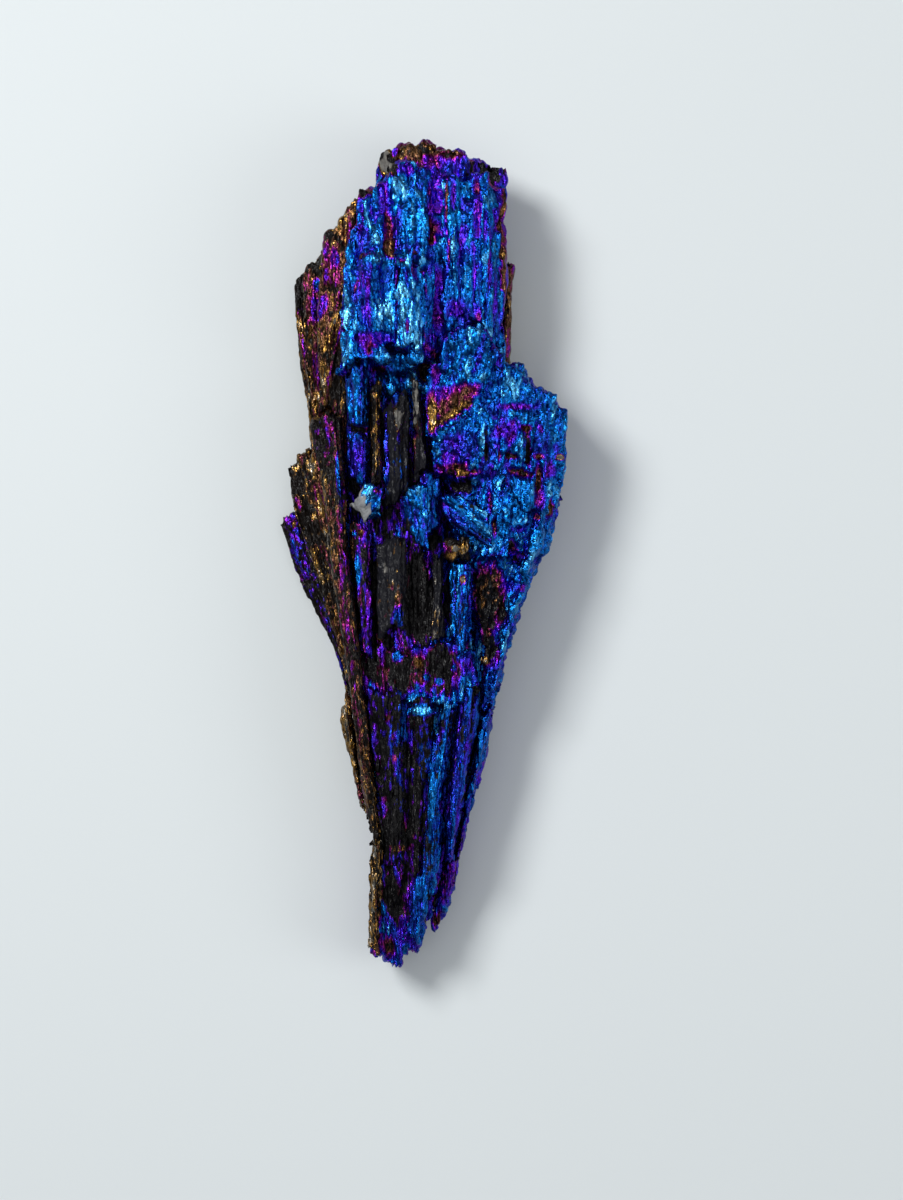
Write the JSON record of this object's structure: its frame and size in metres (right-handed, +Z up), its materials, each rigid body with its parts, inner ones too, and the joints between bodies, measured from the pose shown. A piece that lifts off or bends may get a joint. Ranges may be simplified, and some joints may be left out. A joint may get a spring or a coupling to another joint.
{
  "type": "kyanite blade cluster",
  "caption": "Fan of black kyanite blades with a rainbow titanium coat, narrow at the root and broad at the head, lying on its back.",
  "frame": {"origin": "under the middle of the cluster's box, on the surface that it lies on", "axes": "+X across the fan, towards its rounded lobe; +Y from the root to the broad head; +Z up, out of the front of the fan"},
  "size_m": [0.0232, 0.0662, 0.0118],
  "materials": {
    "blue_coat": "striated kyanite under a blue titanium coat, glittering",
    "violet_coat": "striated kyanite under a violet titanium coat, satin to glittering",
    "gold_coat": "striated kyanite under a thin straw-gold to bronze coat",
    "bare_crystal": "dark glassy kyanite that the coat hardly reached"
  },
  "bodies": {
    "root": {"hollow_blade_far_left": "blue_coat", "hollow_blade_left": "bare_crystal", "hollow_blade_middle": "bare_crystal", "hollow_blade_right": "bare_crystal", "left_flake": "gold_coat", "left_shoulder_blade": "gold_coat", "left_wing_inner_blade": "gold_coat", "left_wing_middle_blade": "violet_coat", "left_wing_outer_blade": "violet_coat", "lower_blade_far_left": "violet_coat", "lower_blade_left": "bare_crystal", "lower_blade_middle": "bare_crystal", "lower_blade_right": "blue_coat", "main_fan": "blue_coat", "pale_chip": "bare_crystal", "right_back_sliver": "gold_coat", "right_fan": "blue_coat", "right_splinter": "violet_coat", "root_edge_blade": "gold_coat", "slanted_blade": "blue_coat", "spark_crystal": "gold_coat", "splayed_blade_inner": "gold_coat", "splayed_blade_middle": "gold_coat", "splayed_blade_outer": "violet_coat", "trunk_blade_far_right": "blue_coat", "trunk_blade_left": "violet_coat", "trunk_blade_middle": "bare_crystal", "trunk_blade_right": "blue_coat", "wedged_block": "blue_coat"}
  },
  "joints": []
}
